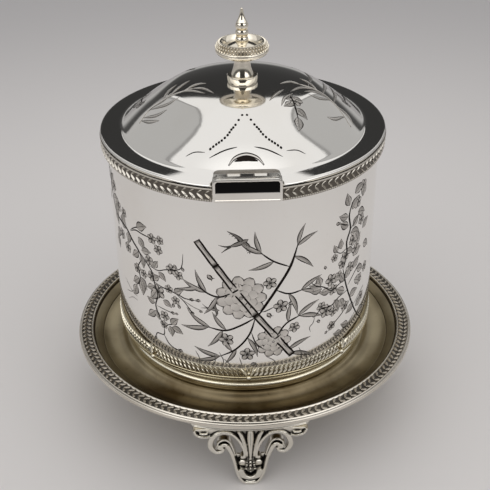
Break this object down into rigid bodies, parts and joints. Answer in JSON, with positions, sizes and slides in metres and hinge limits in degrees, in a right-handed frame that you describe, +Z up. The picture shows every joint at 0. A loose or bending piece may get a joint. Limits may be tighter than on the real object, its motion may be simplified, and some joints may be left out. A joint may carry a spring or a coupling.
{
  "type": "biscuit barrel",
  "caption": "Round drum with a hinged domed lid and turned finial, on a saucer tray with cast scroll feet.",
  "frame": {"origin": "on the table, under the middle of the tray", "axes": "+Z up through the finial, -Y towards the hinge, +X to the right as seen from the hinge"},
  "size_m": [0.1902, 0.1902, 0.2285],
  "materials": {
    "polished_silver": "polished silver plate, engraved",
    "oxidised_silver": "silver plate with dark recesses",
    "cast_silver": "cast and polished silver plate",
    "turned_silver": "turned and polished, slightly warm",
    "tarnished_silver": "silver plate with a brown tarnish in the well",
    "plain_metal": "plain turned fastenings"
  },
  "bodies": {
    "barrel": {"tray_dish": "tarnished_silver", "tray_border": "oxidised_silver", "foot_front": "cast_silver", "foot_rear_right": "cast_silver", "foot_rear_left": "cast_silver", "drum_wall": "polished_silver", "drum_base_ring": "polished_silver", "drum_floor": "plain_metal", "garland_band": "oxidised_silver", "collar_band": "oxidised_silver", "hinge_block": "polished_silver", "hinge_pin": "plain_metal", "stand_bolt": "plain_metal", "stand_washer": "plain_metal", "stand_nut": "plain_metal"},
    "lid": {"lid_dome": "polished_silver", "lid_bezel": "polished_silver", "lid_hinge_leaf": "polished_silver", "finial_stem": "turned_silver", "finial_saucer": "turned_silver", "finial_spire": "turned_silver", "finial_stud": "plain_metal", "finial_washer": "plain_metal", "finial_nut": "plain_metal"}
  },
  "joints": [
    {"name": "lid_hinge", "type": "hinge", "parent": "barrel", "child": "lid", "pos_m": [0, -0.071, 0.1724], "axis": [1, 0, 0], "range_deg": [0, 105]}
  ]
}
